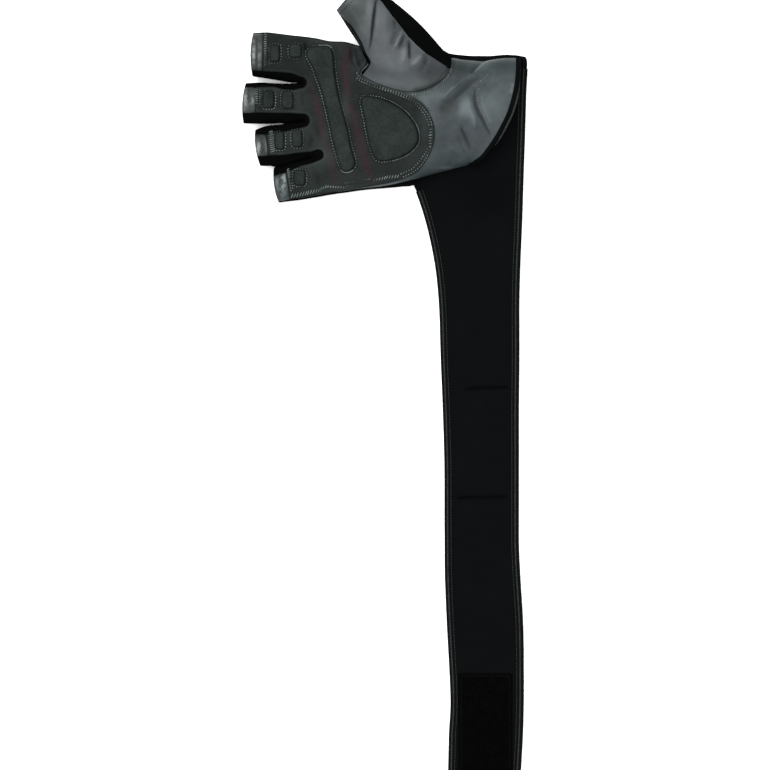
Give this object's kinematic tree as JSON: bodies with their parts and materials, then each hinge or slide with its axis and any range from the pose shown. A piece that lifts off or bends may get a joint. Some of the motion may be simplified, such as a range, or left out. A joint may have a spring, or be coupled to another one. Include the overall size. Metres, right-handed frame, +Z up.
{
  "type": "fitness glove",
  "caption": "Half-finger weight-training glove, palm up, with grey leather palm, padded suede overlay, open thumb stall, black stretch back and a long elastic wrist wrap.",
  "frame": {"origin": "centre of the underside of the whole object's box, on the surface that it lies on", "axes": "+Z up out of the palm face, +Y along the wrap from its free end towards the hand and thumb tip, -X along the fingers"},
  "size_m": [0.1854, 0.5252, 0.0264],
  "materials": {
    "smooth_leather": "smooth grey full-grain leather, satin",
    "suede": "dark grey-green synthetic suede, matt, with faint dull-red mottling",
    "pad_suede": "dark padded suede with light stitching",
    "stretch_fabric": "black stretch knit, matt",
    "elastic": "black woven elastic, matt",
    "edge_tape": "black grosgrain edge tape",
    "hook": "black hook-and-loop face"
  },
  "bodies": {
    "root": {"palm_leather": "smooth_leather", "thumb_leather": "smooth_leather", "palm_suede": "suede", "knuckle_pad": "pad_suede", "heel_pad": "pad_suede", "index_pad_outer": "pad_suede", "index_pad_inner": "pad_suede", "middle_pad_outer": "pad_suede", "middle_pad_inner": "pad_suede", "ring_pad_outer": "pad_suede", "ring_pad_inner": "pad_suede", "little_pad": "pad_suede", "gusset_index_middle": "stretch_fabric", "gusset_middle_ring": "stretch_fabric", "gusset_ring_little": "stretch_fabric", "back_panel": "stretch_fabric", "thumb_back": "stretch_fabric", "wrist_edge": "edge_tape", "wrist_wrap": "elastic", "wrap_binding": "edge_tape", "hook_patch": "hook"}
  },
  "joints": []
}
